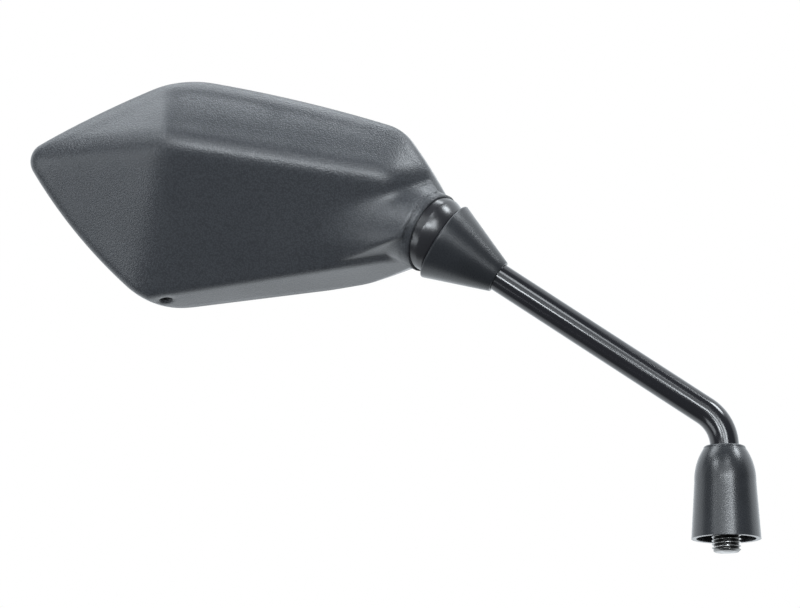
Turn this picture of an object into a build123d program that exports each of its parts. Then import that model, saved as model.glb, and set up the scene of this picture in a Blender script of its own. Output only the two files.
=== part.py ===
"""Motorcycle mirror: a faceted head on a ball joint at the end of a bent stem.

Row frame, millimetres: +Z runs up the stud's axis, the stem lies in the XZ plane and the
origin is on the stud's axis, in the plane of the lower cover's rim. The head has a frame of
its own: origin at the ball's centre, x to the right, y up, z out of the back of the housing.
"""
import math
import os

from build123d import *

# Stem: rod, bend, stud and the neck that carries the ball
ROD_R = 5.0
CORNER_Z = 40.0
BEND_R = 15.0
STEM_RISE = 34.2
BALL_TO_CORNER = 124.2
STUD_TIP = 4.5
STUD_CHAMFER = 0.9
THREAD_CORE_R = 4.6
THREAD_RELIEF = 0.3
NECK_R = 3.6
NECK_LENGTH = 15.2
SHOULDER_CHAMFER = 0.8

# Ball joint, measured from the ball's centre
BALL_R = 7.5
BALL_FLAT = 6.6
LINER_THICK = 0.95
FIT_GAP = 0.05
LOWER_LINER_FROM = 33.0
LOWER_LINER_TO = 64.0
UPPER_LINER_FROM = 92.0
UPPER_LINER_TO = 152.0
SEAT_EDGE = 52.0

# Collar: gloss barrel that comes out of the housing's snout
COLLAR_DROP = 25.0
COLLAR_TILT = 28.8
SKIRT_WALL = 1.75
COLLAR_STEP = 2.1
DOME_PROUD = 1.0
MOUTH_INSET = 4.1
COLLAR_SHOULDER = 1.0
SKIRT_PAST_PLUG = 0.3
GROOVE_DEPTH = 0.7

# Retaining ring on the collar, then cup, spring and plug behind the ball
WEB_BACK = 7.5
RING_THICK = 1.2
RING_PROUD = 0.9
RING_OPENING = 14.0
CUP_WALL = 1.05
CUP_FRONT = 1.5
CUP_BACK = 9.9
CUP_HOLE_R = 3.0
SPRING_HEIGHT = 1.3
SPRING_THICK = 0.8
SPRING_IN_R = 3.5
SPRING_OUT_R = 8.8
PLUG_THICK = 1.6
PLUG_KEY_FLATS = 5.6

# Boot on the upper end of the stem, measured along the stem from the ball's centre
BOOT_RIM_AT = 7.0
BOOT_TIP_AT = 30.4
BOOT_RIM_PROUD = 0.4
BOOT_TIP_R = 5.9
BOOT_RIM_ROUND = 0.6
BOOT_TIP_ROUND = 0.35
BOOT_GAP = 0.45
BOOT_CAVITY_MID = 40.0

# Lower cover, bell shaped, and the lock nut inside it
COVER_HEIGHT = 32.0
COVER_BASE_R = 11.9
COVER_WAIST_R = 10.6
COVER_WAIST_Z = 19.5
COVER_SHOULDER_R = 9.7
COVER_SHOULDER_Z = 26.0
COVER_TOP_R = 7.3
COVER_TOP_ROUND = 0.9
COVER_WALL = 1.7
COVER_CEILING_R = 8.5
COVER_CEILING_Z = 24.0
NUT_FLATS = 14.0
NUT_HEIGHT = 6.0
NUT_BOTTOM_Z = 11.5
NUT_CHAMFER = 0.6

# Head: pose of the housing about the ball
HEAD_YAW = 4.6
HEAD_PITCH = 12.7

# Housing outline on the rim plane, head frame: corner, bulge of the edge after it, rounding
RIM_Z = -21.0
LEFT_TIP = (-144.3, 26.7)
BOTTOM_LEFT = (-97.3, -28.7)
BOTTOM_RIGHT = (-20.5, -18.7)
RIGHT_TIP = (15.5, -4.0)
TOP_RIGHT = (-8.3, 36.7)
TOP_LEFT = (-87.1, 54.5)
LEFT_BULGE = 3.75
BOTTOM_BULGE = 1.0
TAIL_BULGE = 0.8
RIGHT_BULGE = 1.6
TOP_BULGE = 1.6
TOP_LEFT_BULGE = 1.3
LEFT_TIP_R = 7.4
BOTTOM_LEFT_R = 28.0
BOTTOM_RIGHT_R = 35.0
RIGHT_TIP_R = 9.0
TOP_RIGHT_R = 16.0
TOP_LEFT_R = 40.0
OUTLINE = (
    (LEFT_TIP, LEFT_BULGE, LEFT_TIP_R),
    (BOTTOM_LEFT, BOTTOM_BULGE, BOTTOM_LEFT_R),
    (BOTTOM_RIGHT, TAIL_BULGE, BOTTOM_RIGHT_R),
    (RIGHT_TIP, RIGHT_BULGE, RIGHT_TIP_R),
    (TOP_RIGHT, TOP_BULGE, TOP_RIGHT_R),
    (TOP_LEFT, TOP_LEFT_BULGE, TOP_LEFT_R),
)
WALL_DRAFT = 3.0
BOTTOM_DRAFT = 22.0
BOTTOM_STEP = 0.4

# Facets of the back: points of the creases and how each facet rolls away from its crease
APEX = (-91.1, 30.65, 14.0)
RIDGE_END = (-12.8, 18.7, 10.0)
LEFT_CREASE_END = (-144.3, 26.7, -8.0)
LOWER_CREASE_END = (-99.1, -19.0, -5.0)
MAIN_FOOT = (-61.5, -18.3, -5.0)
ROLL_SLOPE = 0.7
ROLL_CURVE = 0.0085
END_FACET = (7.7, -3.6, -15.0)
END_FACET_SLOPE = 0.9
RIDGE_SOFT = 4.2
LEFT_SOFT = 5.0
CROSS_SOFT = 2.4
END_SOFT = 4.0
BACK_EDGE_R = 4.0
OUTER_STEPS = (70, 42)
INNER_STEPS = (30, 18)
SHEET_TOLERANCE = 0.05

# Snout that carries the collar
LIP_AT = 2.6
LIP_WALL = 0.8
SNOUT_WAY = (-0.87, 0.10, -0.48)
SNOUT_STEEPEST = 0.86
SNOUT_BLEND = 6.0
SNOUT_FLARE = 0.08
SNOUT_SINK = 0.2
SNOUT_INSET = 1.7
SNOUT_REACH = 42.0
LIP_RELIEF = -0.4
LIP_RELIEF_R = 17.0
TUBE_BACK = 16.0
TUBE_WALL = 2.1

# Inside of the housing, glass and drain
RIM_WALL = 2.2
LEDGE = 2.6
BACK_WALL = 2.4
LEDGE_DEPTH = 5.4
GLASS_GAP = 0.3
GLASS_THICK = 2.2
GLASS_RADIUS = 1400.0
GLASS_CENTRE = (-65.0, 12.0)
GLASS_RECESS = 0.6
GASKET_WIDTH = 2.0
GASKET_GAP = 0.05
DRAIN_R = 2.5
DRAIN_AT = (-92.7, -24.6, -12.0)
DRAIN_REACH = 14.0

# Frames and derived sizes
rise = math.radians(STEM_RISE)
CORNER = Vector(0, 0, CORNER_Z)
STEM_DIR = Vector(math.cos(rise), 0, -math.sin(rise))
BALL = CORNER - STEM_DIR * BALL_TO_CORNER
STEM_FRAME = Plane(origin=BALL, x_dir=(0, 1, 0), z_dir=STEM_DIR)

yaw = math.radians(HEAD_YAW)
pitch = math.radians(HEAD_PITCH)
HEAD_X = Vector(math.cos(yaw), math.sin(yaw), 0)
HEAD_OUT = Vector(math.sin(yaw) * math.cos(pitch), -math.cos(yaw) * math.cos(pitch), -math.sin(pitch))
HEAD = Plane(origin=BALL, x_dir=HEAD_X, z_dir=HEAD_OUT)

drop = math.radians(COLLAR_DROP)
tilt = math.radians(COLLAR_TILT)
COLLAR_DIR = Vector(math.cos(tilt) * math.cos(drop), -math.cos(tilt) * math.sin(drop), math.sin(tilt))
COLLAR_SIDE = Vector(math.sin(drop), math.cos(drop), 0)
COLLAR_FRAME = Plane(origin=(0, 0, 0), x_dir=COLLAR_SIDE, z_dir=COLLAR_DIR)

LINER_IN_R = BALL_R + FIT_GAP
LINER_OUT_R = LINER_IN_R + LINER_THICK
SEAT_R = LINER_OUT_R + FIT_GAP
CUP_R = SEAT_R + CUP_WALL
CUP_BORE_R = CUP_R + FIT_GAP
COLLAR_BODY_R = CUP_BORE_R + SKIRT_WALL
COLLAR_R = COLLAR_BODY_R + COLLAR_STEP
COLLAR_DOME_R = COLLAR_R + DOME_PROUD
COLLAR_MOUTH_R = COLLAR_R - MOUTH_INSET
RING_R = COLLAR_BODY_R + RING_PROUD
TUBE_R = COLLAR_BODY_R + TUBE_WALL
LIP_R = COLLAR_R + LIP_WALL
PLUG_FRONT = CUP_BACK + SPRING_HEIGHT
PLUG_BACK = PLUG_FRONT + PLUG_THICK
SKIRT_BACK = PLUG_BACK + SKIRT_PAST_PLUG
BOOT_CAVITY_R = COLLAR_DOME_R + BOOT_GAP
BOOT_RIM_R = COLLAR_DOME_R + BOOT_RIM_PROUD
BORE_R = ROD_R + FIT_GAP
LIP_CENTRE = COLLAR_DIR * LIP_AT
SNOUT_TOP = COLLAR_DIR * LIP_RELIEF + COLLAR_SIDE * LIP_R
LEDGE_Z = RIM_Z + LEDGE_DEPTH


def turned(curves):
    """Solid of revolution about Z from a closed chain of (radius, height) curves."""
    return revolve(Plane.XZ * make_face(curves), axis=Axis.Z)


def at_angle(radius, degrees):
    """Point (radius from the axis, height) on a sphere, measured from the +Z pole."""
    angle = math.radians(degrees)
    return (radius * math.sin(angle), radius * math.cos(angle))


def sphere_zone(inner, outer, start, end):
    """Ring cut from a spherical shell between two angles from the pole."""
    middle = (start + end) / 2
    curves = Curve() + [
        ThreePointArc(at_angle(inner, start), at_angle(inner, middle), at_angle(inner, end)),
        Line(at_angle(inner, end), at_angle(outer, end)),
        ThreePointArc(at_angle(outer, end), at_angle(outer, middle), at_angle(outer, start)),
        Line(at_angle(outer, start), at_angle(inner, start)),
    ]
    return turned(curves)


def rod(radius, start, end):
    """Cylinder along Z between two heights."""
    low, high = min(start, end), max(start, end)
    return Pos(0, 0, low) * Cylinder(radius, high - low, align=(Align.CENTER, Align.CENTER, Align.MIN))


def circles_of_radius(shape, radius):
    """Circular edges of a shape that have a given radius."""
    circles = shape.edges().filter_by(GeomType.CIRCLE)
    return [edge for edge in circles if abs(edge.radius - radius) < FIT_GAP]


def on_collar(shape):
    """Place a piece that was made along Z on the collar's axis, head frame."""
    return COLLAR_FRAME * shape


def on_stem(shape):
    """Place a piece that was made along Z on the stem's upper straight."""
    return STEM_FRAME * shape


# Stem, ball, boot, cover and nut
def make_stem():
    shoulder = BALL + STEM_DIR * NECK_LENGTH
    path = FilletPolyline((0, 0, -STUD_TIP), CORNER, shoulder, radius=BEND_R)
    bar = sweep(Plane.XY.offset(-STUD_TIP) * Circle(ROD_R), path=path)
    ends = bar.edges().filter_by(GeomType.CIRCLE)
    bar = chamfer(ends.sort_by(Axis.Z)[0], STUD_CHAMFER)
    ends = bar.edges().filter_by(GeomType.CIRCLE)
    bar = chamfer(min(ends, key=lambda e: (e.arc_center - shoulder).length), SHOULDER_CHAMFER)
    engaged = rod(2 * ROD_R, NUT_BOTTOM_Z - THREAD_RELIEF, NUT_BOTTOM_Z + NUT_HEIGHT)
    bar -= engaged - rod(THREAD_CORE_R, 0, CORNER_Z)
    return bar + on_stem(rod(NECK_R, -BALL_FLAT, NECK_LENGTH))


def make_pivot_ball():
    flat = rod(BALL_R, -BALL_FLAT, -2 * BALL_R)
    return on_stem(Sphere(BALL_R) - flat - rod(NECK_R, -BALL_R, BALL_R))


def make_lower_liner():
    return on_stem(sphere_zone(LINER_IN_R, LINER_OUT_R, LOWER_LINER_FROM, LOWER_LINER_TO))


def make_upper_liner():
    return sphere_zone(LINER_IN_R, LINER_OUT_R, UPPER_LINER_FROM, UPPER_LINER_TO)


def make_boot():
    cavity_rim = (math.sqrt(BOOT_CAVITY_R**2 - BOOT_RIM_AT**2), BOOT_RIM_AT)
    cavity_top = (BORE_R, math.sqrt(BOOT_CAVITY_R**2 - BORE_R**2))
    cavity_mid = at_angle(BOOT_CAVITY_R, BOOT_CAVITY_MID)
    curves = Curve() + [
        ThreePointArc(cavity_rim, cavity_mid, cavity_top),
        Line(cavity_top, (BORE_R, BOOT_TIP_AT)),
        Line((BORE_R, BOOT_TIP_AT), (BOOT_TIP_R, BOOT_TIP_AT)),
        Line((BOOT_TIP_R, BOOT_TIP_AT), (BOOT_RIM_R, BOOT_RIM_AT)),
        Line((BOOT_RIM_R, BOOT_RIM_AT), cavity_rim),
    ]
    boot = turned(curves)
    boot = fillet(circles_of_radius(boot, BOOT_RIM_R), BOOT_RIM_ROUND)
    boot = fillet(circles_of_radius(boot, BOOT_TIP_R), BOOT_TIP_ROUND)
    return on_stem(boot)


def make_cover():
    top_start = (COVER_TOP_R, COVER_HEIGHT - COVER_TOP_ROUND)
    top_end = (COVER_TOP_R - COVER_TOP_ROUND, COVER_HEIGHT)
    slant = math.sqrt(0.5)
    top_mid = (
        COVER_TOP_R - COVER_TOP_ROUND * (1 - slant),
        COVER_HEIGHT - COVER_TOP_ROUND * (1 - slant),
    )
    inner_waist = (COVER_WAIST_R - COVER_WALL, COVER_WAIST_Z)
    inner_top = (COVER_CEILING_R, COVER_CEILING_Z)
    curves = Curve() + [
        Line((COVER_BASE_R, 0), (COVER_WAIST_R, COVER_WAIST_Z)),
        ThreePointArc((COVER_WAIST_R, COVER_WAIST_Z), (COVER_SHOULDER_R, COVER_SHOULDER_Z), top_start),
        ThreePointArc(top_start, top_mid, top_end),
        Line(top_end, (BORE_R, COVER_HEIGHT)),
        Line((BORE_R, COVER_HEIGHT), (BORE_R, COVER_CEILING_Z)),
        Line((BORE_R, COVER_CEILING_Z), inner_top),
        Line(inner_top, inner_waist),
        Line(inner_waist, (COVER_BASE_R - COVER_WALL, 0)),
        Line((COVER_BASE_R - COVER_WALL, 0), (COVER_BASE_R, 0)),
    ]
    return turned(curves)


def make_lock_nut():
    corner_r = NUT_FLATS / math.sqrt(3)
    prism = extrude(RegularPolygon(corner_r, 6), NUT_HEIGHT)
    cone = NUT_CHAMFER * math.sqrt(3)
    crown = turned(
        Polyline(
            (0, 0),
            (corner_r - cone, 0),
            (corner_r, NUT_CHAMFER),
            (corner_r, NUT_HEIGHT - NUT_CHAMFER),
            (corner_r - cone, NUT_HEIGHT),
            (0, NUT_HEIGHT),
            close=True,
        )
    )
    return Pos(0, 0, NUT_BOTTOM_Z) * ((prism & crown) - rod(THREAD_CORE_R, 0, NUT_HEIGHT))


# Pieces of the joint that ride in the head, made along the collar's axis
def make_collar():
    dome_start = (COLLAR_R, math.sqrt(COLLAR_DOME_R**2 - COLLAR_R**2))
    dome_end = (COLLAR_MOUTH_R, math.sqrt(COLLAR_DOME_R**2 - COLLAR_MOUTH_R**2))
    dome_mid_r = (COLLAR_R + COLLAR_MOUTH_R) / 2
    dome_mid = (dome_mid_r, math.sqrt(COLLAR_DOME_R**2 - dome_mid_r**2))
    groove_r = COLLAR_BODY_R - GROOVE_DEPTH
    groove_back = -(WEB_BACK + RING_THICK + 2 * FIT_GAP)
    seat_start = at_angle(SEAT_R, SEAT_EDGE)
    seat_mid = at_angle(SEAT_R, (SEAT_EDGE + 90) / 2)
    step = -(CUP_FRONT / 2)
    curves = Curve() + [
        Polyline(
            (CUP_BORE_R, -SKIRT_BACK),
            (COLLAR_BODY_R, -SKIRT_BACK),
            (COLLAR_BODY_R, groove_back),
            (groove_r, groove_back),
            (groove_r, -WEB_BACK),
            (COLLAR_BODY_R, -WEB_BACK),
            (COLLAR_BODY_R, -COLLAR_SHOULDER),
            (COLLAR_R, -COLLAR_SHOULDER),
            dome_start,
        ),
        ThreePointArc(dome_start, dome_mid, dome_end),
        Line(dome_end, seat_start),
        ThreePointArc(seat_start, seat_mid, (SEAT_R, 0)),
        Polyline((SEAT_R, 0), (SEAT_R, step), (CUP_BORE_R, step), (CUP_BORE_R, -SKIRT_BACK)),
    ]
    return on_collar(turned(curves))


def make_retaining_ring():
    inner = COLLAR_BODY_R - GROOVE_DEPTH + FIT_GAP
    ring = rod(RING_R, -WEB_BACK, -WEB_BACK - RING_THICK) - rod(inner, 0, -2 * WEB_BACK)
    gap = Pos(0, RING_R, -WEB_BACK) * Box(RING_OPENING, RING_R, 4 * RING_THICK)
    return on_collar(ring - gap)


def make_cup():
    body = rod(CUP_R, -CUP_FRONT, -CUP_BACK)
    return on_collar(body - Sphere(SEAT_R) - rod(CUP_HOLE_R, 0, -2 * CUP_BACK))


def make_spring():
    washer = Polyline(
        (SPRING_OUT_R, -CUP_BACK),
        (SPRING_OUT_R, -CUP_BACK - SPRING_THICK),
        (SPRING_IN_R, -PLUG_FRONT),
        (SPRING_IN_R, -PLUG_FRONT + SPRING_THICK),
        close=True,
    )
    return on_collar(turned(washer))


def make_plug():
    key = extrude(RegularPolygon(PLUG_KEY_FLATS / math.sqrt(3), 6), -2 * PLUG_BACK)
    return on_collar(rod(CUP_R, -PLUG_FRONT, -PLUG_BACK) - key)


# Housing
def outline_wire():
    """Rim outline: bulged edges between the corners, then the corners rounded."""
    edges = []
    for index, (start, bulge, _) in enumerate(OUTLINE):
        end = OUTLINE[(index + 1) % len(OUTLINE)][0]
        a, b = Vector(*start), Vector(*end)
        way = (b - a).normalized()
        middle = (a + b) * 0.5 + Vector(way.Y, -way.X) * bulge
        edges.append(ThreePointArc(a, middle, b))
    wire = Wire(edges)
    for corner, _, radius in OUTLINE:
        point = Vector(*corner)
        vertex = min(wire.vertices(), key=lambda v: (Vector(v.X, v.Y) - point).length)
        wire = wire.fillet_2d(radius, [vertex])
    return wire


def inset_arc(edge, inset, middle):
    """Arc of the outline moved in by an inset, towards the outline's middle."""
    points = []
    for u in (0.0, 0.5, 1.0):
        point, way = edge @ u, edge % u
        side = Vector(-way.Y, way.X)
        if side.dot(middle - point) < 0:
            side = side * -1
        points.append(point + side * inset)
    return ThreePointArc(*points)


def rim_face(inset=0.0):
    """Face inside the rim outline, drawn in by an inset."""
    wire = outline_wire()
    middle = wire.bounding_box().center()
    return Face(Wire([inset_arc(edge, inset, middle) for edge in wire.edges()]))


def drafted_block(inset, low, tall):
    """Block that stands on the outline drawn in by an inset, its walls leaning in by the draft."""
    lean = tall * math.tan(math.radians(WALL_DRAFT))
    lower = Pos(0, 0, low) * rim_face(inset)
    upper = Pos(0, 0, low + tall) * rim_face(inset + lean)
    return loft([lower, upper], ruled=True)


def through_points(p, q, r):
    """Height of the plane through three points."""
    (x1, y1, z1), (x2, y2, z2), (x3, y3, z3) = p, q, r
    area = (x2 - x1) * (y3 - y1) - (x3 - x1) * (y2 - y1)
    slope_x = ((z2 - z1) * (y3 - y1) - (z3 - z1) * (y2 - y1)) / area
    slope_y = ((x2 - x1) * (z3 - z1) - (x3 - x1) * (z2 - z1)) / area
    return lambda x, y: z1 + slope_x * (x - x1) + slope_y * (y - y1)


def rolled_facet(start, end):
    """Height of a facet that starts at a crease and rolls over towards the upper outline."""
    span = math.hypot(end[0] - start[0], end[1] - start[1])
    along = ((end[0] - start[0]) / span, (end[1] - start[1]) / span)
    side = math.copysign(1.0, along[0])
    across = (-along[1] * side, along[0] * side)

    def height(x, y):
        t = (x - start[0]) * along[0] + (y - start[1]) * along[1]
        d = (x - start[0]) * across[0] + (y - start[1]) * across[1]
        crease = start[2] + (end[2] - start[2]) * t / span
        return crease - ROLL_SLOPE * d - ROLL_CURVE * max(d, 0.0) ** 2

    return height


def falling_facet(point, way, slope):
    """Height of a plane that falls along a direction of the rim plane."""
    return lambda x, y: point[2] - slope * ((x - point[0]) * way[0] + (y - point[1]) * way[1])


def soft_min(a, b, soft):
    """Lower of two heights, with the crease between them rounded."""
    overlap = max(soft - abs(a - b), 0.0)
    return min(a, b) - overlap * overlap / (4 * soft)


TOP_LEFT_FACET = rolled_facet(APEX, LEFT_CREASE_END)
TOP_FACET = rolled_facet(APEX, RIDGE_END)
MAIN_FACET = through_points(APEX, RIDGE_END, MAIN_FOOT)
LEFT_FACET = through_points(APEX, LEFT_CREASE_END, LOWER_CREASE_END)
SIDE_FACET = rolled_facet(RIDGE_END, (SNOUT_TOP.X, SNOUT_TOP.Y, SNOUT_TOP.Z))
TAIL_FACET = falling_facet(END_FACET, (math.cos(drop), -math.sin(drop)), END_FACET_SLOPE)


def facet_height(x, y):
    """Back of the head without the snout."""
    left = soft_min(TOP_LEFT_FACET(x, y), LEFT_FACET(x, y), LEFT_SOFT)
    upper = soft_min(TOP_FACET(x, y), SIDE_FACET(x, y), END_SOFT)
    lower = soft_min(MAIN_FACET(x, y), TAIL_FACET(x, y), END_SOFT)
    return soft_min(left, soft_min(upper, lower, RIDGE_SOFT), CROSS_SOFT)


def snout_height(x, y):
    """Crown of the snout: a tube that sinks into the main facet behind the lip."""
    flat = math.hypot(SNOUT_WAY[0], SNOUT_WAY[1])
    along = (SNOUT_WAY[0] / flat, SNOUT_WAY[1] / flat)
    fall = SNOUT_WAY[2] / flat
    dx, dy = x - LIP_CENTRE.X, y - LIP_CENTRE.Y
    t = dx * along[0] + dy * along[1]
    e = abs(dx * along[1] - dy * along[0])
    radius = LIP_R + SNOUT_FLARE * max(t, 0.0)
    knee = SNOUT_STEEPEST * radius
    inside = min(e, knee)
    crown = math.sqrt(radius**2 - inside**2)
    side_slope = knee / math.sqrt(radius**2 - knee**2)
    crown -= max(e - knee, 0.0) * side_slope
    return LIP_CENTRE.Z + fall * t + crown * math.hypot(1.0, fall)


def back_height(x, y):
    """Back of the head with the snout blended in."""
    return -soft_min(-facet_height(x, y), -snout_height(x, y), SNOUT_BLEND)


def crest_line(x):
    """Height of the crease line over the rim plane's x axis, rounded at the apex."""
    left = (LEFT_CREASE_END[1] - APEX[1]) / (LEFT_CREASE_END[0] - APEX[0])
    right = (RIDGE_END[1] - APEX[1]) / (RIDGE_END[0] - APEX[0])
    return APEX[1] + soft_min(left * (x - APEX[0]), right * (x - APEX[0]), CROSS_SOFT)


def above(height, x_range, y_range, steps):
    """Block of everything above a height formula, its rows laid along the crease line."""
    (x0, x1), (y0, y1) = x_range, y_range
    columns, rows = steps
    xs = [x0 + (x1 - x0) * i / columns for i in range(columns + 1)]
    low = y0 - APEX[1]
    high = y1 - min(crest_line(x0), crest_line(x1))
    steps_up = [low + (high - low) * j / rows for j in range(rows + 1)]
    grid = [[Vector(x, y, height(x, y)) for y in [crest_line(x) + up for up in steps_up]] for x in xs]
    sheet = Face.make_surface_from_array_of_points(grid, tol=SHEET_TOLERANCE, min_deg=3, max_deg=3)
    return extrude(sheet, amount=4 * (APEX[2] - RIM_Z), dir=(0, 0, 1))


def bottom_edge_side():
    """Direction in the rim plane that points out of the lower edge."""
    way = (Vector(*BOTTOM_RIGHT) - Vector(*BOTTOM_LEFT)).normalized()
    return Vector(way.Y, -way.X, 0)


def bottom_wall_plane():
    """Inclined plane of the lower wall, its normal pointing out of the head."""
    out = bottom_edge_side()
    foot = (Vector(*BOTTOM_LEFT) + Vector(*BOTTOM_RIGHT)) * 0.5 + out * (BOTTOM_BULGE - BOTTOM_STEP)
    lean = math.radians(BOTTOM_DRAFT)
    normal = out * math.cos(lean) + Vector(0, 0, math.sin(lean))
    return Plane(origin=(foot.X, foot.Y, RIM_Z), z_dir=normal)


def behind_bottom_wall(shape, inset=0.0):
    """What is left of a shape inside the lower wall's plane moved in by an inset."""
    return split(shape, bisect_by=bottom_wall_plane().offset(-inset), keep=Keep.BOTTOM)


def snout_form(x_range, y_range, tall):
    """Snout as a lump of its own, a little below the facets where it runs out in them."""
    snout = drafted_block(SNOUT_INSET, RIM_Z + SNOUT_INSET, tall)
    snout -= above(lambda x, y: back_height(x, y) - SNOUT_SINK, x_range, y_range, OUTER_STEPS)
    snout &= Pos(LIP_CENTRE.X, LIP_CENTRE.Y, 0) * rod(SNOUT_REACH, RIM_Z, RIM_Z + 2 * tall)
    snout = split(snout, bisect_by=COLLAR_FRAME.offset(LIP_RELIEF), keep=Keep.BOTTOM)
    return behind_bottom_wall(snout, SNOUT_INSET)


def outer_form(x_range, y_range):
    """Housing as a solid lump: walls, facets, lower wall, rounded edge, snout and lip."""
    tall = APEX[2] - RIM_Z + 2 * BACK_EDGE_R
    lump = drafted_block(0.0, RIM_Z, tall)
    lump -= above(facet_height, x_range, y_range, OUTER_STEPS)
    lump = behind_bottom_wall(lump)
    back = max(lump.faces().filter_by(GeomType.BSPLINE), key=lambda f: f.area)
    lump = fillet(back.edges(), BACK_EDGE_R)
    lump += snout_form(x_range, y_range, tall)
    lump -= on_collar(rod(LIP_RELIEF_R, LIP_RELIEF, BALL_TO_CORNER))
    return lump + on_collar(rod(LIP_R, -TUBE_BACK, LIP_AT))


def make_housing():
    span = rim_face().bounding_box()
    margin = 2 * BACK_EDGE_R
    x_range = (span.min.X - margin, span.max.X + margin)
    y_range = (span.min.Y - margin, span.max.Y + margin)
    lump = outer_form(x_range, y_range)

    ledge_in = RIM_WALL + LEDGE
    room = behind_bottom_wall(drafted_block(ledge_in, LEDGE_Z, APEX[2] - LEDGE_Z), ledge_in)
    room -= above(lambda x, y: facet_height(x, y) - BACK_WALL, x_range, y_range, INNER_STEPS)
    shell = lump - recess_block(RIM_WALL) - room
    shell += on_collar(rod(TUBE_R, -WEB_BACK, LIP_AT)) & lump

    bores = rod(COLLAR_R + FIT_GAP, -COLLAR_SHOULDER, 2 * LIP_AT)
    bores += rod(COLLAR_BODY_R + FIT_GAP, -2 * SKIRT_BACK, 0)
    bores += rod(RING_R + FIT_GAP, -WEB_BACK, -2 * SKIRT_BACK)
    shell -= on_collar(bores)

    drain = Plane(origin=DRAIN_AT, z_dir=bottom_edge_side()) * rod(DRAIN_R, -DRAIN_REACH, DRAIN_REACH)
    return shell - drain


def glass_ball(depth):
    """Ball whose near cap is the glass's front, or a surface that far behind it."""
    centre_z = RIM_Z + GLASS_RECESS + GLASS_RADIUS
    return Pos(GLASS_CENTRE[0], GLASS_CENTRE[1], centre_z) * Sphere(GLASS_RADIUS - depth)


def recess_block(inset):
    """Block that fills the rim's recess inside the outline drawn in by the inset."""
    return behind_bottom_wall(extrude(Pos(0, 0, RIM_Z) * rim_face(inset), amount=LEDGE_DEPTH), inset)


def make_glass():
    block = recess_block(RIM_WALL + GLASS_GAP)
    return (block & glass_ball(0.0)) - glass_ball(GLASS_THICK)


def make_gasket():
    edge = RIM_WALL + GLASS_GAP
    frame = recess_block(edge) - recess_block(edge + GASKET_WIDTH)
    return frame & glass_ball(GLASS_THICK + GASKET_GAP)


def main():
    os.makedirs("parts", exist_ok=True)
    nodes = {
        "stem": make_stem(),
        "pivot_ball": make_pivot_ball(),
        "lower_ball_liner": make_lower_liner(),
        "joint_boot": make_boot(),
        "stem_cover": make_cover(),
        "lock_nut": make_lock_nut(),
        "upper_ball_liner": HEAD * on_collar(make_upper_liner()),
        "socket_collar": HEAD * make_collar(),
        "retaining_ring": HEAD * make_retaining_ring(),
        "pressure_cup": HEAD * make_cup(),
        "joint_spring": HEAD * make_spring(),
        "spring_plug": HEAD * make_plug(),
        "housing": HEAD * make_housing(),
        "mirror_glass": HEAD * make_glass(),
        "glass_gasket": HEAD * make_gasket(),
    }
    for name, shape in nodes.items():
        export_step(shape, f"parts/{name}.step")


main()
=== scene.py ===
"""Looks of a motorcycle mirror: finishes for its moulded, painted, rubber and bare metal pieces,
a stem with a cut thread, and a pale studio around it."""
import math

import bpy
from mathutils import Matrix, Vector


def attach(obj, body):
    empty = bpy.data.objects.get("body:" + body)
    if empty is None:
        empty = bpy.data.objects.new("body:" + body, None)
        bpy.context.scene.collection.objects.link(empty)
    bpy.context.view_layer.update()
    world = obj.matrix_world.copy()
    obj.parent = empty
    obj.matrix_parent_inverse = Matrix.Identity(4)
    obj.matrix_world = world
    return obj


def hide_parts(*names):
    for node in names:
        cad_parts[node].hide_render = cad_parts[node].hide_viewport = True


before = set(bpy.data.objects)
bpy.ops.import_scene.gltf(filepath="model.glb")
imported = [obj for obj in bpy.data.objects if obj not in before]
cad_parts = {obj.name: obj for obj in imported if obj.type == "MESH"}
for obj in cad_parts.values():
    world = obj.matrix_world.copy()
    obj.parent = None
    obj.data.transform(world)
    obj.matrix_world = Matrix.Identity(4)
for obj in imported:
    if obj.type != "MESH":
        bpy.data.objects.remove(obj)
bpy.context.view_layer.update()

bl_info = {
    "name": "Motorcycle Mirror",
    "version": (1, 0, 0),
    "blender": (4, 5, 0),
    "location": "3D View > Sidebar > Mirror",
    "description": "Dresses the mirror's solids with their finishes and sets up its studio",
    "category": "Object",
}

# Detail of the meshes
SEGMENTS = 72
ROWS_PER_TURN = 14
BEND_ROWS = 28
SHARP_EDGE = math.radians(35.0)
WELD_GAP = 1e-6

# Thread's profile as shares of half a pitch, and how much the stud's cut end is darkened
GROOVE_FLOOR = 0.25
FLANK_WIDTH = 0.6
CUT_END_DARKENING = 0.6

# Pebble grain: fineness of its noises against the cells, and where a pebble slopes to its rim
WOBBLE_FINENESS = 0.45
CELL_SMOOTHNESS = 0.35
PEBBLE_SLOPE = (0.15, 0.75)
SPECKLE_FINENESS = 2.2
SPECKLE_SHARE = 0.35

# Handling marks: bands of the noise that turn into patches, into dusty areas and into one speck
PATCH_BAND = (0.3, 0.7)
DUSTY_BAND = (0.5, 0.68)
SPECK_BAND = (0.05, 0.16)

# Heights of the finest relief, in metres
HOUSING_GRAIN = 0.000034
RUBBER_GRAIN = 0.000012
STEEL_PITS = 0.00001
MOULDING_MOTTLE = 0.00002

# Cells of the rubber's grain on one metre
BOOT_CELLS = 2600.0
COVER_CELLS = 1900.0

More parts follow.
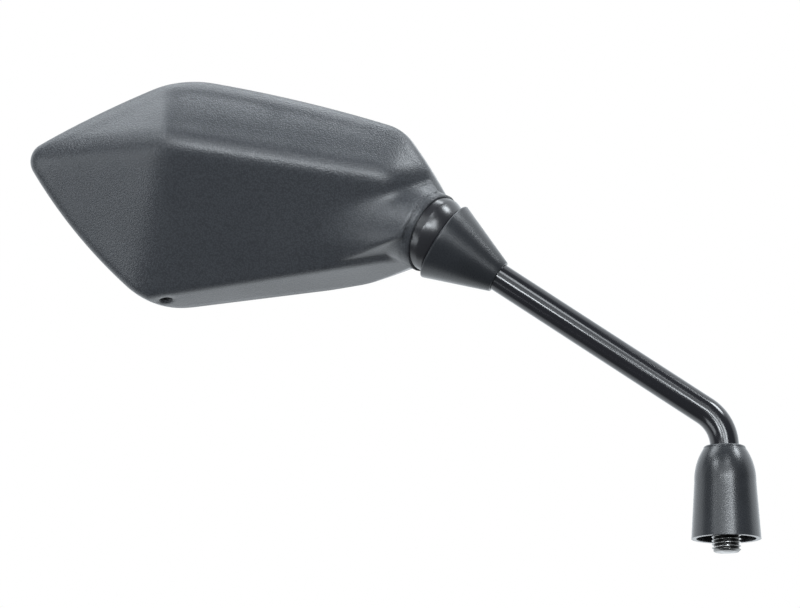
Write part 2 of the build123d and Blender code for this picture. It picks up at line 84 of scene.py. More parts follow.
# Roughness of the finishes, from their smoothest to their dullest spots
HOUSING_ROUGH = (0.34, 0.40)
COLLAR_ROUGH = (0.22, 0.26)
PAINT_ROUGH = (0.13, 0.17)
BOOT_ROUGH = (0.27, 0.33)
COVER_ROUGH = (0.24, 0.30)
STUD_ROUGH = (0.28, 0.42)
NUT_ROUGH = (0.3, 0.45)
BALL_ROUGH = (0.14, 0.24)
SPRING_ROUGH = (0.3, 0.45)
PLUG_ROUGH = (0.3, 0.4)
MIRROR_ROUGH = (0.015, 0.035)
LINER_ROUGH = 0.42
CUP_ROUGH = 0.45
FOAM_ROUGH = 0.8
MOTTLE_ROUGH = 0.08
FLOOR_ROUGH = 0.8

# Refractive indices
HOUSING_INDEX = 1.52
GLOSS_INDEX = 1.5
BOOT_INDEX = 1.40
COVER_INDEX = 1.5

# Tones against the finish's own colour
GLOSS_DUST = 4.0
RUBBER_BLOOM = 1.35
MOULDING_CLOUD = 1.25
MIRROR_DUST = 0.9
ZINC_TARNISH = 0.6
# Painted shade that darkens the zinc in the thread's grooves
GROOVE_PAINTED_SHADE = 0.05

# Colours of the pieces inside the joint, of the foam and of the floor
BALL_STEEL = (0.6, 0.6, 0.6, 1.0)
BALL_TARNISH = (0.4, 0.4, 0.41, 1.0)
SPRING_STEEL = (0.3, 0.3, 0.31, 1.0)
SPRING_TARNISH = (0.16, 0.16, 0.17, 1.0)
PLUG_STEEL = (0.5, 0.5, 0.5, 1.0)
PLUG_TARNISH = (0.32, 0.32, 0.33, 1.0)
LINER_CREAM = (0.72, 0.71, 0.66, 1.0)
CUP_BLACK = (0.08, 0.08, 0.08, 1.0)
FOAM_BLACK = (0.03, 0.03, 0.03, 1.0)
FLOOR_PALE = (0.70, 0.70, 0.70, 1.0)
FLOOR_PALER = (0.72, 0.72, 0.72, 1.0)
WHITE = (1.0, 1.0, 1.0, 1.0)

# Studio: the camera's place and angles, the floor, and where the bright sheet gives way to the room
VIEW_AZIMUTH = math.radians(4.6)
VIEW_ELEVATION = math.radians(-12.7)
VIEW_ROLL = math.radians(0.32)
CAMERA_PLACE = (-0.0342, -0.9675, -0.1353)
LENS_MM = 127.8
SENSOR_MM = 36.0
FLOOR_REACH = 14.0
SHEET_EDGE = (-0.25, 0.1)
LIGHTS_AIM = Vector((-0.1, 0.0, 0.1))
LIGHTS_DISTANCE = 1.2

# Lights: name, setting of the power and share of it, azimuth and elevation from the camera's axis
# in degrees, width and height in metres
WINDOWS = (
    ("left_pane_high", "left_panes", 1.0, (-50.0, 42.0), (0.3, 0.26)),
    ("left_pane_low", "left_panes", 0.25, (-45.0, 21.0), (0.3, 0.26)),
    ("right_pane_high", "right_panes", 0.45, (13.0, 47.0), (0.2, 0.3)),
    ("right_pane_low", "right_panes", 1.6, (20.0, 16.0), (0.24, 0.5)),
    ("low_lamp", "low_lamp", 1.0, (-16.0, 12.0), (0.22, 0.12)),
    ("ridge_lamp", "ridge_lamp", 1.0, (4.0, 14.0), (0.3, 0.18)),
    ("window_wall", "window_wall", 1.0, (-12.0, 32.0), (1.1, 0.7)),
    ("left_sheet", "left_sheet", 1.0, (-57.0, -15.0), (0.45, 0.6)),
    ("upper_sheet", "upper_sheet", 1.0, (-100.0, 58.0), (0.5, 0.5)),
    ("top_strip", "top_strip", 1.0, (-4.0, 109.0), (0.9, 0.22)),
    ("right_sheet", "right_sheet", 1.0, (86.0, 48.0), (0.3, 0.3)),
)


# Settings that a user would change
class MirrorSizes(bpy.types.PropertyGroup):
    rod_radius: bpy.props.FloatProperty(
        name="Rod radius", description="Radius of the painted stem and of the thread's crests",
        default=0.005, unit="LENGTH")
    stud_tip: bpy.props.FloatProperty(
        name="Stud tip", description="How far the stud reaches below the cover's rim",
        default=0.0045, unit="LENGTH")
    tip_chamfer: bpy.props.FloatProperty(
        name="Tip chamfer", description="Chamfer at the stud's end", default=0.0009, unit="LENGTH")
    thread_pitch: bpy.props.FloatProperty(
        name="Thread pitch", description="Distance between two crests",
        default=0.00125, unit="LENGTH")
    thread_depth: bpy.props.FloatProperty(
        name="Thread depth", description="Depth of the groove", default=0.00072, unit="LENGTH")
    thread_top: bpy.props.FloatProperty(
        name="Thread end", description="Height where the thread runs out into the rod",
        default=0.0185, unit="LENGTH")
    bend_corner: bpy.props.FloatProperty(
        name="Bend corner", description="Height where the two straights would meet",
        default=0.040, unit="LENGTH")
    bend_radius: bpy.props.FloatProperty(
        name="Bend radius", description="Radius of the bend's centre line",
        default=0.015, unit="LENGTH")
    stem_rise: bpy.props.FloatProperty(
        name="Stem rise", description="Angle of the upper straight above the horizon",
        default=math.radians(34.2), subtype="ANGLE")
    ball_to_corner: bpy.props.FloatProperty(
        name="Ball to corner", description="From the ball's centre to the bend's corner",
        default=0.1242, unit="LENGTH")
    neck_radius: bpy.props.FloatProperty(
        name="Neck radius", description="Radius of the neck that carries the ball",
        default=0.0036, unit="LENGTH")
    neck_length: bpy.props.FloatProperty(
        name="Neck length", description="From the ball's centre to the rod's shoulder",
        default=0.0152, unit="LENGTH")
    neck_past_ball: bpy.props.FloatProperty(
        name="Neck end", description="How far the neck reaches past the ball's centre",
        default=0.0066, unit="LENGTH")
    shoulder_chamfer: bpy.props.FloatProperty(
        name="Shoulder chamfer", description="Chamfer at the rod's upper end",
        default=0.0008, unit="LENGTH")


class MirrorFinish(bpy.types.PropertyGroup):
    housing_colour: bpy.props.FloatVectorProperty(
        name="Housing", description="Charcoal of the grained moulding",
        subtype="COLOR", size=4, min=0.0, max=1.0, default=(0.020, 0.0215, 0.025, 1.0))
    housing_worn: bpy.props.FloatVectorProperty(
        name="Housing, raised grain", description="Lighter tone on the tops of the grain",
        subtype="COLOR", size=4, min=0.0, max=1.0, default=(0.034, 0.037, 0.042, 1.0))
    grain_size: bpy.props.FloatProperty(
        name="Grain size", description="Width of one pebble of the housing's grain",
        default=0.00058, unit="LENGTH")
    crease_radius: bpy.props.FloatProperty(
        name="Crease radius", description="How wide the moulding's creases look rounded",
        default=0.0034, unit="LENGTH")
    collar_colour: bpy.props.FloatVectorProperty(
        name="Collar", description="Gloss black plastic",
        subtype="COLOR", size=4, min=0.0, max=1.0, default=(0.012, 0.012, 0.014, 1.0))
    paint_colour: bpy.props.FloatVectorProperty(
        name="Stem paint", description="Gloss black paint",
        subtype="COLOR", size=4, min=0.0, max=1.0, default=(0.008, 0.008, 0.010, 1.0))
    rubber_colour: bpy.props.FloatVectorProperty(
        name="Rubber", description="Satin black of the boot and the bell cover",
        subtype="COLOR", size=4, min=0.0, max=1.0, default=(0.011, 0.012, 0.014, 1.0))
    zinc_colour: bpy.props.FloatVectorProperty(
        name="Zinc", description="Bare plated steel of the stud and nut",
        subtype="COLOR", size=4, min=0.0, max=1.0, default=(0.52, 0.52, 0.51, 1.0))
    glass_colour: bpy.props.FloatVectorProperty(
        name="Mirror", description="Reflecting face",
        subtype="COLOR", size=4, min=0.0, max=1.0, default=(0.45, 0.48, 0.51, 1.0))


class MirrorStudio(bpy.types.PropertyGroup):
    floor_height: bpy.props.FloatProperty(
        name="Floor height", description="Height of the pale floor", default=-0.32, unit="LENGTH")
    light_tint: bpy.props.FloatVectorProperty(
        name="Light tint", description="Slightly cool daylight of the windows",
        subtype="COLOR", size=3, min=0.0, max=1.0, default=(0.90, 0.955, 1.0))
    surround: bpy.props.FloatProperty(
        name="Surround", description="Brightness of the white sheet behind the object",
        default=1.7, min=0.0)
    front_shade: bpy.props.FloatProperty(
        name="Front shade", description="Brightness of the room in front of the object",
        default=0.20, min=0.0)
    left_panes: bpy.props.FloatProperty(
        name="Left panes", description="Power of the upper pane on the left; the lower has a share",
        default=3.6, subtype="POWER")
    right_panes: bpy.props.FloatProperty(
        name="Right panes", description="Power that the panes above the camera have shares of",
        default=3.6, subtype="POWER")
    low_lamp: bpy.props.FloatProperty(
        name="Low lamp", description="Power of the small lamp beside the camera",
        default=2.4, subtype="POWER")
    ridge_lamp: bpy.props.FloatProperty(
        name="Ridge lamp", description="Power of the soft lamp just above the camera",
        default=5.2, subtype="POWER")
    window_wall: bpy.props.FloatProperty(
        name="Window wall", description="Power of the dim wall between the panes",
        default=3.8, subtype="POWER")
    left_sheet: bpy.props.FloatProperty(
        name="Left sheet", description="Power of the soft light from the lower left",
        default=3.3, subtype="POWER")
    upper_sheet: bpy.props.FloatProperty(
        name="Upper sheet", description="Power of the soft light from the upper left",
        default=4.8, subtype="POWER")
    top_strip: bpy.props.FloatProperty(
        name="Top strip", description="Power of the soft strip above the head",
        default=6.6, subtype="POWER")
    right_sheet: bpy.props.FloatProperty(
        name="Right sheet", description="Power of the soft light from the right",
        default=6.2, subtype="POWER")


# Shader groups: surface effects that several finishes share
def new_group(name, inputs, outputs):
    group = bpy.data.node_groups.new(name, "ShaderNodeTree")
    for label, default in inputs:
        socket = group.interface.new_socket(label, in_out="INPUT", socket_type="NodeSocketFloat")
        socket.default_value = default
    for label in outputs:
        group.interface.new_socket(label, in_out="OUTPUT", socket_type="NodeSocketFloat")
    return group, group.nodes.new("NodeGroupInput"), group.nodes.new("NodeGroupOutput")


def math_node(tree, operation, first, second):
    node = tree.nodes.new("ShaderNodeMath")
    node.operation = operation
    for slot, value in enumerate((first, second)):
        if isinstance(value, bpy.types.NodeSocket):
            tree.links.new(value, node.inputs[slot])
        else:
            node.inputs[slot].default_value = value
    return node.outputs[0]


def map_range(tree, value, band, results):
    """Smooth step from the first result to the second as the value crosses the band."""
    node = tree.nodes.new("ShaderNodeMapRange")
    node.interpolation_type = "SMOOTHSTEP"
    tree.links.new(value, node.inputs["Value"])
    for label, number in zip(("From Min", "From Max", "To Min", "To Max"), (*band, *results)):
        node.inputs[label].default_value = number
    return node.outputs["Result"]


def noise(group, place, scale, detail):
    """Noise texture whose scale comes from a socket."""
    node = group.nodes.new("ShaderNodeTexNoise")
    node.inputs["Detail"].default_value = detail
    group.links.new(place, node.inputs["Vector"])
    group.links.new(scale, node.inputs["Scale"])
    return node


def pebble_grain_group():
    """Moulded pebble grain: a height for bump and a mask of the pebbles' tops."""
    group, given, result = new_group(
        "Pebble Grain", (("Cells per Metre", 1600.0), ("Unevenness", 0.4)), ("Height", "Tops"))
    density = given.outputs["Cells per Metre"]
    place = group.nodes.new("ShaderNodeTexCoord").outputs["Object"]
    wobble_scale = math_node(group, "MULTIPLY", density, WOBBLE_FINENESS)
    wobble = noise(group, place, wobble_scale, detail=2.0)
    shift = group.nodes.new("ShaderNodeVectorMath")
    shift.operation = "SCALE"
    group.links.new(wobble.outputs["Color"], shift.inputs[0])
    reach = math_node(group, "DIVIDE", given.outputs["Unevenness"], density)
    group.links.new(reach, shift.inputs["Scale"])
    moved = group.nodes.new("ShaderNodeVectorMath")
    moved.operation = "ADD"
    group.links.new(place, moved.inputs[0])
    group.links.new(shift.outputs[0], moved.inputs[1])
    cells = group.nodes.new("ShaderNodeTexVoronoi")
    cells.feature = "SMOOTH_F1"
    cells.inputs["Smoothness"].default_value = CELL_SMOOTHNESS
    group.links.new(moved.outputs[0], cells.inputs["Vector"])
    group.links.new(density, cells.inputs["Scale"])
    tops = map_range(group, cells.outputs["Distance"], PEBBLE_SLOPE, (1.0, 0.0))
    speckle_scale = math_node(group, "MULTIPLY", density, SPECKLE_FINENESS)
    speckle = noise(group, place, speckle_scale, detail=3.0)
    fine = math_node(group, "MULTIPLY", speckle.outputs["Fac"], SPECKLE_SHARE)
    group.links.new(math_node(group, "ADD", tops, fine), result.inputs["Height"])
    group.links.new(tops, result.inputs["Tops"])
    return group


def handling_group():
    """Broad cloudy patches and fine specks of dust on a handled surface."""
    group, given, result = new_group(
        "Handling", (("Patch Scale", 40.0), ("Speck Scale", 900.0)), ("Patches", "Specks"))
    place = group.nodes.new("ShaderNodeTexCoord").outputs["Object"]
    cloud = noise(group, place, given.outputs["Patch Scale"], detail=4.0).outputs["Fac"]
    speck = group.nodes.new("ShaderNodeTexVoronoi")
    group.links.new(place, speck.inputs["Vector"])
    group.links.new(given.outputs["Speck Scale"], speck.inputs["Scale"])
    dots = map_range(group, speck.outputs["Distance"], SPECK_BAND, (1.0, 0.0))
    dusty = map_range(group, cloud, DUSTY_BAND, (0.0, 1.0))
    group.links.new(map_range(group, cloud, PATCH_BAND, (0.0, 1.0)), result.inputs["Patches"])
    group.links.new(math_node(group, "MULTIPLY", dots, dusty), result.inputs["Specks"])
    return group


def placed(material, group, **values):
    node = material.node_tree.nodes.new("ShaderNodeGroup")
    node.node_tree = group
    for label, value in values.items():
        node.inputs[label.replace("_", " ")].default_value = value
    return node


def grain(material, cells, unevenness):
    group = bpy.data.node_groups.get("Pebble Grain") or pebble_grain_group()
    return placed(material, group, Cells_per_Metre=cells, Unevenness=unevenness)


def handling(material, patches, specks):
    group = bpy.data.node_groups.get("Handling") or handling_group()
    return placed(material, group, Patch_Scale=patches, Speck_Scale=specks)


# Finishes
def new_finish(name):
    material = bpy.data.materials.new(name)
    material.use_nodes = True
    return material, material.node_tree.nodes["Principled BSDF"], material.node_tree


def toned(colour, factor):
    return tuple(min(1.0, part * factor) for part in colour[:3]) + (1.0,)


def mix_colours(material, mask, first, second):
    node = material.node_tree.nodes.new("ShaderNodeMix")
    node.data_type = "RGBA"
    material.node_tree.links.new(mask, node.inputs["Factor"])
    node.inputs["A"].default_value = first
    node.inputs["B"].default_value = second
    return node.outputs["Result"]


def set_tone(material, shader, mask, first, second):
    """Base colour that goes from the first to the second colour with the mask."""
    tone = mix_colours(material, mask, first, second)
    material.node_tree.links.new(tone, shader.inputs["Base Color"])


def set_roughness(tree, shader, mask, results):
    """Roughness that goes from the first to the second result with the mask."""
    tree.links.new(map_range(tree, mask, (0.0, 1.0), results), shader.inputs["Roughness"])


def set_relief(tree, shader, height, distance, under=None):
    """Bump of the surface, on top of another normal where one is given."""
    node = tree.nodes.new("ShaderNodeBump")
    node.inputs["Distance"].default_value = distance
    tree.links.new(height, node.inputs["Height"])
    if under is not None:
        tree.links.new(under, node.inputs["Normal"])
    tree.links.new(node.outputs["Normal"], shader.inputs["Normal"])


def housing_finish():
    """Charcoal moulding with a pebble grain and softened creases."""
    finish = bpy.context.scene.mirror_finish
    material, shader, tree = new_finish("housing_moulding")
    pebbles = grain(material, 1.0 / finish.grain_size, unevenness=0.55)
    touch = handling(material, patches=34.0, specks=700.0)
    set_tone(
        material, shader, pebbles.outputs["Tops"], finish.housing_colour, finish.housing_worn)
    set_roughness(tree, shader, touch.outputs["Patches"], HOUSING_ROUGH)
    creases = tree.nodes.new("ShaderNodeBevel")
    creases.samples = 8
    creases.inputs["Radius"].default_value = finish.crease_radius
    set_relief(
        tree, shader, pebbles.outputs["Height"], HOUSING_GRAIN, under=creases.outputs["Normal"])
    shader.inputs["IOR"].default_value = HOUSING_INDEX
    return material


def gloss_finish(name, colour, rough):
    """Gloss black plastic or paint with faint handling marks."""
    material, shader, tree = new_finish(name)
    touch = handling(material, patches=55.0, specks=1400.0)
    set_tone(material, shader, touch.outputs["Specks"], colour, toned(colour, GLOSS_DUST))
    set_roughness(tree, shader, touch.outputs["Patches"], rough)
    shader.inputs["IOR"].default_value = GLOSS_INDEX
    return material


def rubber_finish(name, colour, cells, rough, index):
    """Satin black rubber with a fine grain that is smoother on its tops."""
    material, shader, tree = new_finish(name)
    pebbles = grain(material, cells, unevenness=0.5)
    touch = handling(material, patches=60.0, specks=1100.0)
    set_tone(material, shader, touch.outputs["Patches"], colour, toned(colour, RUBBER_BLOOM))
    set_roughness(tree, shader, pebbles.outputs["Tops"], reversed(rough))
    set_relief(tree, shader, pebbles.outputs["Height"], RUBBER_GRAIN)
    shader.inputs["IOR"].default_value = index
    return material


def metal_finish(name, colour, tarnish, rough):
    """Plated or plain steel with cloudy tarnish and fine pits."""
    material, shader, tree = new_finish(name)
    touch = handling(material, patches=260.0, specks=2600.0)
    set_tone(material, shader, touch.outputs["Patches"], tarnish, colour)
    set_roughness(tree, shader, touch.outputs["Patches"], reversed(rough))
    set_relief(tree, shader, touch.outputs["Specks"], STEEL_PITS)
    shader.inputs["Metallic"].default_value = 1.0
    return material


def thread_finish(name, colour):
    """Plated steel with painted shade darkening the thread's grooves and the stud's cut end; the
    crests keep the tarnished plated tone.
    """
    material = metal_finish(name, colour, toned(colour, ZINC_TARNISH), STUD_ROUGH)
    tree = material.node_tree
    shader = tree.nodes["Principled BSDF"]
    clean = shader.inputs["Base Color"].links[0].from_socket
    # Painted shade: the stored groove mask darkens the zinc in the thread's grooves and on the
    # stud's cut end
    groove = tree.nodes.new("ShaderNodeAttribute")
    groove.attribute_name = "groove"
    tone = mix_colours(material, groove.outputs["Fac"], colour, toned(colour, GROOVE_PAINTED_SHADE))
    tree.links.new(clean, tone.node.inputs["A"])
    tree.links.new(tone, shader.inputs["Base Color"])
    return material


def plain_moulding(name, colour, rough):
    """Inner moulding: even plastic or foam with a fine mottling."""
    material, shader, tree = new_finish(name)
    patches = handling(material, patches=120.0, specks=1600.0).outputs["Patches"]
    set_tone(material, shader, patches, colour, toned(colour, MOULDING_CLOUD))
    set_roughness(tree, shader, patches, (rough, rough + MOTTLE_ROUGH))
    set_relief(tree, shader, patches, MOULDING_MOTTLE)
    return material


def floor_finish():
    """Pale matt floor with hardly any unevenness."""
    material, shader, _ = new_finish("floor_pale")
    touch = handling(material, patches=0.6, specks=40.0)
    set_tone(material, shader, touch.outputs["Patches"], FLOOR_PALE, FLOOR_PALER)
    shader.inputs["Roughness"].default_value = FLOOR_ROUGH
    return material


def mirror_face_finish():
    """Silvered glass with a trace of dust."""
    colour = bpy.context.scene.mirror_finish.glass_colour
    material, shader, tree = new_finish("mirror_face")
    touch = handling(material, patches=22.0, specks=500.0)
    set_tone(material, shader, touch.outputs["Specks"], colour, toned(colour, MIRROR_DUST))
    set_roughness(tree, shader, touch.outputs["Patches"], MIRROR_ROUGH)
    shader.inputs["Metallic"].default_value = 1.0
    return material


# Meshes
def dress(node_name, material, join=True):
    """Gives a CAD node its finish and, unless its border has to stay crisp, joins its seams."""
    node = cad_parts[node_name]
    mesh = node.data
    mesh.materials.clear()
    mesh.materials.append(material)
    if join:
        weld = node.modifiers.new("weld", "WELD")
        weld.merge_threshold = WELD_GAP


def skin_rings(name, rings, materials, slot_of_ring):
    """Closed mesh from rings of points, each ring joined to the next, with a face on both ends."""
    count = len(rings[0])
    points = [point for ring in rings for point in ring]
    faces = []
    slots = []
    for row in range(len(rings) - 1):
        for column in range(count):
            after = (column + 1) % count
            low, high = row * count, (row + 1) * count
            faces.append((low + column, low + after, high + after, high + column))
            slots.append(slot_of_ring(row))
    faces.append(tuple(reversed(range(count))))
    slots.append(slot_of_ring(0))
    last = (len(rings) - 1) * count
    faces.append(tuple(last + column for column in range(count)))
    slots.append(slot_of_ring(len(rings) - 1))
    mesh = bpy.data.meshes.new(name)
    mesh.from_pydata(points, [], faces)
    for material in materials:
        mesh.materials.append(material)
    mesh.polygons.foreach_set("material_index", slots)
    mesh.validate()
    piece = bpy.data.objects.new(name, mesh)
    bpy.context.scene.collection.objects.link(piece)
    mesh.shade_smooth()
    mesh.set_sharp_from_angle(angle=SHARP_EDGE)
    return piece


def circle_at(centre, across, radius):
    """Ring of points round a centre; across is the ring's first direction and Y its second."""
    side = Vector((0, 1, 0))
    ring = []
    for index in range(SEGMENTS):
        turn = 2 * math.pi * index / SEGMENTS
        ring.append(
            centre + across * (radius * math.cos(turn)) + side * (radius * math.sin(turn)))
    return ring


def thread_radius(sizes, height, turn):
    """Radius of the cut thread at a height and a turn round the axis."""
    phase = (height / sizes.thread_pitch - turn / (2 * math.pi)) % 1.0
    flank = abs(phase - 0.5) * 2
    crest = min(1.0, max(0.0, (flank - GROOVE_FLOOR) / FLANK_WIDTH))
    fade = min(1.0, max(0.0, (sizes.thread_top - height) / sizes.thread_pitch))
    radius = sizes.rod_radius - sizes.thread_depth * (1.0 - crest) * fade
    tip = sizes.rod_radius - sizes.tip_chamfer + (height + sizes.stud_tip)
    return min(radius, tip)


def mark_groove_shade(mesh, sizes):
    """Stores how much each point of the stud is darkened: by the groove's depth as painted shade,
    and by a fixed share on the cut end.
    """
    depth = mesh.attributes.new("groove", "FLOAT", "POINT")
    for point, value in zip(mesh.vertices, depth.data):
        sunk = sizes.rod_radius - math.hypot(point.co.x, point.co.y)
        at_end = point.co.z < sizes.tip_chamfer - sizes.stud_tip
        in_thread = point.co.z < sizes.thread_top
        share = CUT_END_DARKENING if at_end else sunk / sizes.thread_depth
        value.value = min(1.0, max(0.0, share)) if in_thread else 0.0


def thread_rings(sizes):
    """Rings of the cut thread, from the stud's tip to where the thread has run out."""
    rings = []
    step = sizes.thread_pitch / ROWS_PER_TURN
    count = int((sizes.thread_top + sizes.stud_tip) / step) + 1
    for row in range(count + 1):
        height = -sizes.stud_tip + row * step
        ring = []
        for index in range(SEGMENTS):
            turn = 2 * math.pi * index / SEGMENTS
            radius = thread_radius(sizes, height, turn)
            ring.append(Vector((radius * math.cos(turn), radius * math.sin(turn), height)))
        rings.append(ring)
    return rings


def rod_rings(sizes):
    """Rings of the painted rod: the bend, the upper straight, the shoulder and the neck."""
    rings = []
    sweep = math.pi / 2 - sizes.stem_rise
    start = sizes.bend_corner - sizes.bend_radius * math.tan(sweep / 2)
    centre = Vector((-sizes.bend_radius, 0, start))
    for row in range(BEND_ROWS + 1):
        angle = sweep * row / BEND_ROWS
        across = Vector((math.cos(angle), 0, math.sin(angle)))
        rings.append(circle_at(centre + across * sizes.bend_radius, across, sizes.rod_radius))

    upward = Vector((-math.cos(sizes.stem_rise), 0, math.sin(sizes.stem_rise)))
    across = Vector((math.sin(sizes.stem_rise), 0, math.cos(sizes.stem_rise)))
    ball = Vector((0, 0, sizes.bend_corner)) + upward * sizes.ball_to_corner
    shoulder = sizes.neck_length
    for distance, radius in (
        (shoulder + sizes.shoulder_chamfer, sizes.rod_radius),
        (shoulder, sizes.rod_radius - sizes.shoulder_chamfer),
        (shoulder, sizes.neck_radius),
        (-sizes.neck_past_ball, sizes.neck_radius),
    ):
        rings.append(circle_at(ball - upward * distance, across, radius))
    return rings


# Stage
def view_axes():
    """Right, up and backward directions of the camera, which looks slightly up at the head."""
    back = Vector((
        math.sin(VIEW_AZIMUTH) * math.cos(VIEW_ELEVATION),
        -math.cos(VIEW_AZIMUTH) * math.cos(VIEW_ELEVATION),
        math.sin(VIEW_ELEVATION),
    ))
    level = Vector((math.cos(VIEW_AZIMUTH), math.sin(VIEW_AZIMUTH), 0))
    right = level * math.cos(VIEW_ROLL) + back.cross(level) * math.sin(VIEW_ROLL)
    return right, back.cross(right), back


def build_floor(studio):
    """Pale floor far below the object, kept out of its reflections and shade."""
    mesh = bpy.data.meshes.new("floor")
    corners = [
        (-FLOOR_REACH, -FLOOR_REACH),
        (FLOOR_REACH, -FLOOR_REACH),
        (FLOOR_REACH, FLOOR_REACH),
        (-FLOOR_REACH, FLOOR_REACH),
    ]
    mesh.from_pydata([(x, y, studio.floor_height) for x, y in corners], [], [(0, 1, 2, 3)])
    floor = bpy.data.objects.new("floor", mesh)
    bpy.context.scene.collection.objects.link(floor)
    mesh.materials.append(floor_finish())
    floor.visible_glossy = False
    floor.visible_diffuse = False
    floor.visible_shadow = False


def build_surround(scene, studio):
    """White sheet behind and below the object, a dim room in front of it."""
    world = bpy.data.worlds.new("surround")
    scene.world = world
    world.use_nodes = True
    tree = world.node_tree
    shade = tree.nodes["Background"]
    seen = tree.nodes.new("ShaderNodeLightPath").outputs["Is Camera Ray"]
    facing = tree.nodes.new("ShaderNodeVectorMath")
    facing.operation = "DOT_PRODUCT"
    way = tree.nodes.new("ShaderNodeTexCoord").outputs["Generated"]
    tree.links.new(way, facing.inputs[0])
    facing.inputs[1].default_value = view_axes()[2]
    level = map_range(
        tree, facing.outputs["Value"], SHEET_EDGE, (studio.surround, studio.front_shade))
    strength = tree.nodes.new("ShaderNodeMix")
    strength.data_type = "FLOAT"
    tree.links.new(seen, strength.inputs["Factor"])
    tree.links.new(level, strength.inputs["A"])
    strength.inputs["B"].default_value = 1.0
    tree.links.new(strength.outputs["Result"], shade.inputs["Strength"])
    tint = tree.nodes.new("ShaderNodeMix")
    tint.data_type = "RGBA"
    tree.links.new(seen, tint.inputs["Factor"])
    tint.inputs["A"].default_value = (*studio.light_tint, 1.0)
    tint.inputs["B"].default_value = WHITE
    tree.links.new(tint.outputs["Result"], shade.inputs["Color"])


def build_lights(studio):
    """Bright rectangles round the camera's axis that face the object."""
    right, up, back = view_axes()
    for name, setting, share, (azimuth, elevation), size in WINDOWS:
        turn, rise = math.radians(azimuth), math.radians(elevation)
        level = right * math.sin(turn) + back * math.cos(turn)
        way = level * math.cos(rise) + up * math.sin(rise)
        lamp = bpy.data.lights.new(name, "AREA")
        lamp.shape = "RECTANGLE"
        lamp.size, lamp.size_y = size
        lamp.energy = getattr(studio, setting) * share
        lamp.color = studio.light_tint
        light = bpy.data.objects.new(name, lamp)
        light.location = LIGHTS_AIM + way * LIGHTS_DISTANCE
        light.rotation_euler = (-way).to_track_quat("-Z", "Y").to_euler()
        bpy.context.scene.collection.objects.link(light)


def build_camera(scene):
    """Camera that the photo's view was fitted with."""
    data = bpy.data.cameras.new("camera")
    data.lens = LENS_MM
    data.sensor_width = SENSOR_MM
    camera = bpy.data.objects.new("camera", data)
    turn = Matrix(view_axes()).transposed().to_4x4()
    camera.matrix_world = Matrix.Translation(CAMERA_PLACE) @ turn
    scene.collection.objects.link(camera)
    scene.camera = camera


# Operators, one for each piece or group of like pieces
class MIRROR_OT_housing(bpy.types.Operator):
    """Grained charcoal moulding of the head"""
    bl_idname = "mirror.housing"
    bl_label = "Housing"

    def execute(self, context):
        dress("housing", housing_finish())
        return {"FINISHED"}


class MIRROR_OT_collar(bpy.types.Operator):
    """Gloss collar between the housing and the boot"""
    bl_idname = "mirror.collar"
    bl_label = "Collar"

    def execute(self, context):
        colour = context.scene.mirror_finish.collar_colour
        dress("socket_collar", gloss_finish("collar_gloss", colour, COLLAR_ROUGH))
        return {"FINISHED"}


class MIRROR_OT_stem(bpy.types.Operator):
    """Painted bent stem with a cut thread on its stud"""
    bl_idname = "mirror.stem"
    bl_label = "Stem"

    def execute(self, context):
        sizes, finish = context.scene.mirror_sizes, context.scene.mirror_finish
        paint = gloss_finish("stem_paint", finish.paint_colour, PAINT_ROUGH)
        zinc = thread_finish("stud_zinc", finish.zinc_colour)
        stud, rod = thread_rings(sizes), rod_rings(sizes)
        painted = len(stud) - 1
        stem = skin_rings(
            "stem_with_thread", stud + rod, (paint, zinc), lambda row: 1 if row < painted else 0)
        # Mask of painted shade for the thread's grooves and the stud's cut end
        mark_groove_shade(stem.data, sizes)
        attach(stem, "stem")
        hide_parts("stem")
        return {"FINISHED"}


class MIRROR_OT_rubber(bpy.types.Operator):
    """Rubber boot on the joint and bell cover at the stem's foot"""
    bl_idname = "mirror.rubber"
    bl_label = "Boot and cover"

    def execute(self, context):
        colour = context.scene.mirror_finish.rubber_colour
        boot = rubber_finish("boot_rubber", colour, BOOT_CELLS, BOOT_ROUGH, BOOT_INDEX)
        cover = rubber_finish("cover_rubber", colour, COVER_CELLS, COVER_ROUGH, COVER_INDEX)
        dress("joint_boot", boot)
        dress("stem_cover", cover)
        return {"FINISHED"}


class MIRROR_OT_joint(bpy.types.Operator):
    """Steel and plastic pieces inside the ball joint, and the lock nut"""
    bl_idname = "mirror.joint"
    bl_label = "Joint pieces"

    def execute(self, context):
        zinc = context.scene.mirror_finish.zinc_colour
        nut = metal_finish("nut_zinc", zinc, toned(zinc, ZINC_TARNISH), NUT_ROUGH)
        ball = metal_finish("ball_steel", BALL_STEEL, BALL_TARNISH, BALL_ROUGH)
        spring = metal_finish("spring_steel", SPRING_STEEL, SPRING_TARNISH, SPRING_ROUGH)
        plug = metal_finish("plug_steel", PLUG_STEEL, PLUG_TARNISH, PLUG_ROUGH)
        liner = plain_moulding("liner_plastic", LINER_CREAM, LINER_ROUGH)
        cup = plain_moulding("cup_plastic", CUP_BLACK, CUP_ROUGH)
        for piece, material in (
            ("lock_nut", nut),
            ("pivot_ball", ball),
            ("joint_spring", spring),
            ("retaining_ring", spring),
            ("spring_plug", plug),
            ("lower_ball_liner", liner),
            ("upper_ball_liner", liner),
            ("pressure_cup", cup),
        ):
            dress(piece, material)
        return {"FINISHED"}


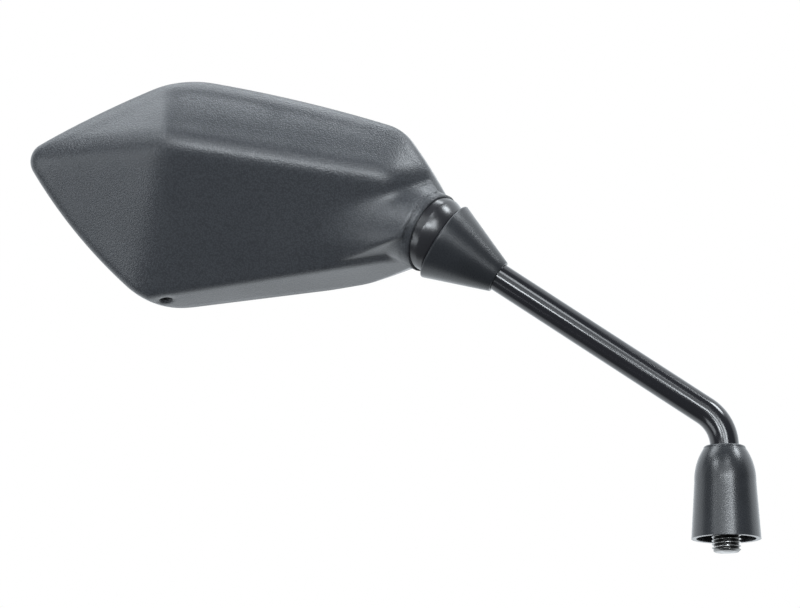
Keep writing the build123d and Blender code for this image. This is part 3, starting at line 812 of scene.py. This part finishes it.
class MIRROR_OT_glass(bpy.types.Operator):
    """Silvered glass and the foam ring behind it"""
    bl_idname = "mirror.glass"
    bl_label = "Glass"

    def execute(self, context):
        dress("mirror_glass", mirror_face_finish(), join=False)
        dress("glass_gasket", plain_moulding("gasket_foam", FOAM_BLACK, FOAM_ROUGH))
        return {"FINISHED"}


class MIRROR_OT_studio(bpy.types.Operator):
    """Pale floor, soft lights, surround and camera"""
    bl_idname = "mirror.studio"
    bl_label = "Studio"

    def execute(self, context):
        studio = context.scene.mirror_studio
        build_floor(studio)
        build_surround(context.scene, studio)
        build_lights(studio)
        build_camera(context.scene)
        context.scene.view_settings.view_transform = "Standard"
        return {"FINISHED"}


STEPS = (
    MIRROR_OT_housing,
    MIRROR_OT_collar,
    MIRROR_OT_stem,
    MIRROR_OT_rubber,
    MIRROR_OT_joint,
    MIRROR_OT_glass,
    MIRROR_OT_studio,
)
SETTINGS = (
    ("mirror_sizes", MirrorSizes),
    ("mirror_finish", MirrorFinish),
    ("mirror_studio", MirrorStudio),
)


class MIRROR_PT_panel(bpy.types.Panel):
    """Mirror's settings and the steps that dress it"""
    bl_idname = "MIRROR_PT_panel"
    bl_label = "Motorcycle Mirror"
    bl_space_type = "VIEW_3D"
    bl_region_type = "UI"
    bl_category = "Mirror"

    def draw(self, context):
        layout = self.layout
        for group_name, _ in SETTINGS:
            settings = getattr(context.scene, group_name)
            box = layout.box()
            for name in settings.bl_rna.properties.keys():
                if name not in {"rna_type", "name"}:
                    box.prop(settings, name)
        for step in STEPS:
            layout.operator(step.bl_idname)


def register():
    for name, group in SETTINGS:
        bpy.utils.register_class(group)
        setattr(bpy.types.Scene, name, bpy.props.PointerProperty(type=group))
    for step in STEPS:
        bpy.utils.register_class(step)
    bpy.utils.register_class(MIRROR_PT_panel)


def unregister():
    bpy.utils.unregister_class(MIRROR_PT_panel)
    for step in reversed(STEPS):
        bpy.utils.unregister_class(step)
    for name, group in reversed(SETTINGS):
        delattr(bpy.types.Scene, name)
        bpy.utils.unregister_class(group)


def main():
    register()
    bpy.ops.mirror.housing()
    bpy.ops.mirror.collar()
    bpy.ops.mirror.stem()
    bpy.ops.mirror.rubber()
    bpy.ops.mirror.joint()
    bpy.ops.mirror.glass()
    bpy.ops.mirror.studio()


if __name__ == "__main__":
    main()
